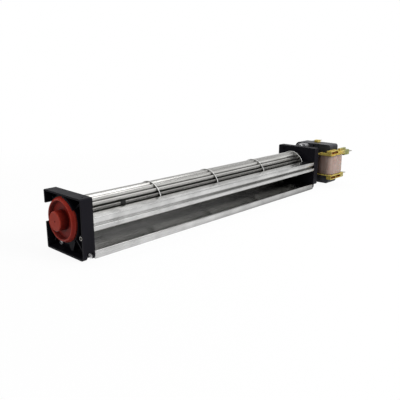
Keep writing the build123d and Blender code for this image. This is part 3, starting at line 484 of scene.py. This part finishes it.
def coil_wrap():
    """The tape: crowned over the wires, a little uneven, its end lapped over at the front."""
    low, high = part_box("winding_tape")
    outline = rounded_outline(low, high, WRAP_CORNER, WRAP_CORNER_STEPS)
    rows = []
    for level in range(WRAP_LEVELS + 1):
        share = level / WRAP_LEVELS
        off_middle = 2 * share - 1
        row = []
        for x, y, out_x, out_y in outline:
            free = min(1.0, max(0.0, (WRAP_BACK - y) / WRAP_FREE_RUN))
            crown = WRAP_CROWN * (1 - off_middle ** 4)
            place = Vector((x * UNEVEN_ACROSS, y * UNEVEN_ACROSS, share * UNEVEN_UP))
            uneven = noise.noise(place) * WRAP_UNEVEN * (1 - off_middle ** 6)
            lapped = WRAP_LAP if y < WRAP_BACK and LAP_FROM < x < LAP_TO else 0.0
            swell = free * (crown + uneven + lapped)
            row.append((x + out_x * swell, y + out_y * swell,
                        low[2] + (high[2] - low[2]) * share))
        rows.append(row)
    inner = [[(x - out_x * WRAP_THICKNESS, y - out_y * WRAP_THICKNESS, z)
              for x, y, out_x, out_y in outline] for z in (high[2], low[2])]
    wrap = skin("coil_wrap", rows + inner, "winding_tape")
    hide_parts("winding_tape")


coil_wrap()

# The two posts in the terminal block's mouth, on which the coil's ends are wound
POSTS = (("coil_start", 0.4782), ("coil_finish", 0.4881))
POST_Z = 0.0589
POST_BACK = -0.0478
POST_FRONT = -0.0524
POST_HALF = 0.00045
POST_CHAMFER = 0.00018
MOUTH_FLOOR = 0.05685
# The lead: its wire, and its turns round the post from the back to the front
LEAD_RADIUS = 0.00022
LEAD_TURN_RADIUS = 0.00078
LEAD_STEPS_ROUND = 8
LEAD_KNOTS = 28
LEAD_FIRST = 0.0006
LEAD_PITCH = 0.0006


def wrapped_post(name, x):
    """A tinned post with the coil's end wound round it and led down."""
    square = ((1, 1), (-1, 1), (-1, -1), (1, -1))
    rows = [[(x + a * side, y, POST_Z + b * side) for a, b in square]
            for y, side in ((POST_BACK, POST_HALF), (POST_FRONT + POST_CHAMFER, POST_HALF),
                            (POST_FRONT, POST_HALF - POST_CHAMFER))]
    post = skin(name + "_post", rows, "tab_metal", closed_ends=True)
    post.data.shade_flat()
    around = []
    for k in range(LEAD_KNOTS):
        turn = radians(360 / LEAD_STEPS_ROUND * k)
        around.append((x + LEAD_TURN_RADIUS * cos(turn),
                       POST_BACK - LEAD_FIRST - LEAD_PITCH / LEAD_STEPS_ROUND * k,
                       POST_Z + LEAD_TURN_RADIUS * sin(turn)))
    down = [(x + 0.0013, around[0][1] - 0.0004, POST_Z - 0.0009),
            (x + 0.0021, POST_BACK - 0.0012, MOUTH_FLOOR - 0.0003)]
    wire(name + "_lead", list(reversed(around)) + down, LEAD_RADIUS, "winding_copper")


for post_name, post_x in POSTS:
    wrapped_post(post_name, post_x)

# Ejector marks in the two trays: their Y and Z, and a ring's section as across and rise
TRAY_MARKS = ((-0.0262, 0.0585), (0.0275, 0.0585), (-0.0262, 0.0128), (0.0275, 0.0128))
MARK_RADIUS = 0.0019
MARK_STEPS = 40
MARK_SECTION = ((-0.00022, -0.00004), (-0.0001, 0.00007), (0.0001, 0.00007), (0.00022, -0.00004))


def mould_mark(name, node, start, towards):
    """The thin raised ring of an ejector pin, where a line from the start meets the node."""
    _, place, normal, _ = frame["nodes"][node].ray_cast(Vector(start), Vector(towards))
    side = normal.orthogonal().normalized()
    other = normal.cross(side)
    rows = []
    for k in range(MARK_STEPS):
        turn = 2 * pi * k / MARK_STEPS
        out = side * cos(turn) + other * sin(turn)
        rows.append([place + out * (MARK_RADIUS + across) + normal * rise
                     for across, rise in MARK_SECTION])
    skin(name, rows, "black_plastic")


for k, (y, z) in enumerate(TRAY_MARKS, 1):
    mould_mark(f"bearing_tray_mark_{k}", "bearing_end_plate", (-0.02, y, z), (1, 0, 0))
    mould_mark(f"motor_tray_mark_{k}", "motor_end_plate", (0.468, y, z), (-1, 0, 0))

# Stage: a pale floor that goes over into plain white away from the object
FLOOR_SIZE = 30
FLOOR_Z = -0.0002
FLOOR_CENTRE = (0.13, 0.0, 0.0)
FLOOR_WHITE = 0.93
FLOOR_IN_METAL = 0.75
FLOOR_BOUNCE = (140, 140, 140)
# The world's light on the object
WORLD_FILL = 0.12
# What metal mirrors at each height over the horizon: dim walls, bright windows, a dark cove and a
# duller ceiling
ROOM_IN_METAL = ((0.0, 0.3), (0.12, 0.5), (0.34, 1.0), (0.45, 0.85), (0.54, 0.36), (0.62, 0.26),
                 (0.7, 0.4), (0.85, 0.52), (1.0, 0.5))


def sight(tree, in_metal):
    """How far a ray shows the background: 1 for camera and transmission rays, and in_metal for
    glossy ones."""
    def joined(operation, a, b):
        node = tree.nodes.new("ShaderNodeMath")
        node.operation = operation
        tree.links.new(a, node.inputs[0])
        tree.links.new(b, node.inputs[1])
        return node.outputs["Value"]

    rays = tree.nodes.new("ShaderNodeLightPath").outputs
    mirrored = joined("MULTIPLY", rays["Is Glossy Ray"], in_metal)
    seen = joined("MAXIMUM", rays["Is Camera Ray"], mirrored)
    return joined("MAXIMUM", seen, rays["Is Transmission Ray"])


def blend(tree, factor, low, high):
    """The shader low where the factor is 0, and high where it is 1."""
    node = tree.nodes.new("ShaderNodeMixShader")
    for socket, value in zip(node.inputs, (factor, low, high)):
        tree.links.new(value, socket)
    return node.outputs[0]


def pale_floor():
    """Nearly white, shadowed under the object and plain white away from it. Metal mirrors it as a
    table that ends behind the object."""
    g = Graph("pale_floor", Specular_IOR_Level=0.0, Roughness=1.0)
    tone = g.mix(g.noise(3.0, 2.0), colour(250, 250, 250), colour(254, 254, 254))
    away = g.node("ShaderNodeVectorMath", {0: g.position, 1: FLOOR_CENTRE},
                  operation="DISTANCE").outputs["Value"]
    lit = g.math("MULTIPLY", g.spread(away, 1.0, 0.0, 0.25, 0.75), FLOOR_IN_METAL)
    table = g.math("MULTIPLY", lit, g.spread(g.along("Y"), 1.0, 0.3, 0.02, 0.1))
    seen = sight(g.tree, table)
    g.finish(Base_Color=g.mix(seen, colour(*FLOOR_BOUNCE), tone))
    white = g.node("ShaderNodeEmission", {"Color": (1, 1, 1, 1), "Strength": 1.0})
    glow = g.math("MULTIPLY", seen, g.spread(away, FLOOR_WHITE, 1.0))
    end = next(n for n in g.tree.nodes if n.type == "OUTPUT_MATERIAL")
    g.tree.links.new(blend(g.tree, glow, g.shader.outputs[0], white.outputs[0]),
                     end.inputs["Surface"])
    return g.material


bpy.ops.mesh.primitive_plane_add(size=FLOOR_SIZE)
floor = bpy.context.object
floor.name = "stage_floor"
floor.location = (0.0, 0.0, FLOOR_Z)
floor.data.materials.append(pale_floor())


def studio_world():
    """White where it is seen, a room's walls and windows for metal, and a low even grey for the
    light that falls on the object."""
    world = bpy.data.worlds.new("studio")
    bpy.context.scene.world = world
    world.use_nodes = True
    sky = world.node_tree
    sky.nodes.clear()
    shades = []
    for strength in (WORLD_FILL, 1.0):
        plain = sky.nodes.new("ShaderNodeBackground")
        plain.inputs["Color"].default_value = (1, 1, 1, 1)
        plain.inputs["Strength"].default_value = strength
        shades.append(plain.outputs[0])
    heights = sky.nodes.new("ShaderNodeSeparateXYZ")
    sky.links.new(sky.nodes.new("ShaderNodeTexCoord").outputs["Generated"],
                  heights.inputs["Vector"])
    room = sky.nodes.new("ShaderNodeValToRGB")
    sky.links.new(heights.outputs["Z"], room.inputs["Fac"])
    stops = room.color_ramp.elements
    while len(stops) < len(ROOM_IN_METAL):
        stops.new(1.0)
    for stop, (height, shade) in zip(stops, ROOM_IN_METAL):
        stop.position = height
        stop.color = (shade, shade, shade, 1.0)
    out = sky.nodes.new("ShaderNodeOutputWorld")
    sky.links.new(blend(sky, sight(sky, room.outputs["Color"]), *shades), out.inputs["Surface"])


studio_world()


def softbox(name, place, target, size, power, in_metal):
    """Square area lamp that faces a point, which bare metal mirrors or not."""
    data = bpy.data.lights.new(name, "AREA")
    data.shape = "SQUARE"
    data.size = size
    data.energy = power
    lamp = bpy.data.objects.new(name, data)
    bpy.context.scene.collection.objects.link(lamp)
    lamp.location = place
    aim = Vector(target) - Vector(place)
    lamp.rotation_euler = aim.to_track_quat("-Z", "Y").to_euler()
    lamp.visible_glossy = in_metal


softbox("key_front", (0.75, -1.6, 0.9), (0.25, 0.0, 0.03), 0.9, 27.0, False)
softbox("top_back", (0.2, 0.5, 1.5), (0.25, 0.0, 0.03), 1.2, 9.0, False)
softbox("top_card", (0.66, -0.3, 1.0), (0.66, -0.3, 0.0), 0.7, 2.6, True)
softbox("fill_left", (-1.3, -0.35, 0.75), (0.0, 0.0, 0.04), 0.7, 5.5, False)

# Camera: the photograph's viewpoint, found from the straight edges of the end plates and sheets
CAMERA_PLACE = (-0.27983, -0.46303, 0.19834)
CAMERA_AZIMUTH = radians(-46.82)
CAMERA_ELEVATION = radians(14.76)
CAMERA_ROLL = radians(0.03)
CAMERA_LENS_MM = 45.97
SENSOR_WIDTH_MM = 36.0
back = Vector((sin(CAMERA_AZIMUTH) * cos(CAMERA_ELEVATION),
               -cos(CAMERA_AZIMUTH) * cos(CAMERA_ELEVATION), sin(CAMERA_ELEVATION)))
right = (-back).cross(Vector((0, 0, 1))).normalized()
up = right.cross(-back)
level = Matrix((right, up, back)).transposed()
camera_data = bpy.data.cameras.new("photo_camera")
camera_data.sensor_fit = "HORIZONTAL"
camera_data.sensor_width = SENSOR_WIDTH_MM
camera_data.lens = CAMERA_LENS_MM
camera_data.clip_start = 0.01
camera = bpy.data.objects.new("photo_camera", camera_data)
bpy.context.scene.collection.objects.link(camera)
camera.matrix_world = (Matrix.Translation(CAMERA_PLACE)
                       @ (level @ Matrix.Rotation(CAMERA_ROLL, 3, "Z")).to_4x4())
bpy.context.scene.camera = camera
bpy.context.scene.view_settings.view_transform = "Standard"

bpy.context.view_layer.update()
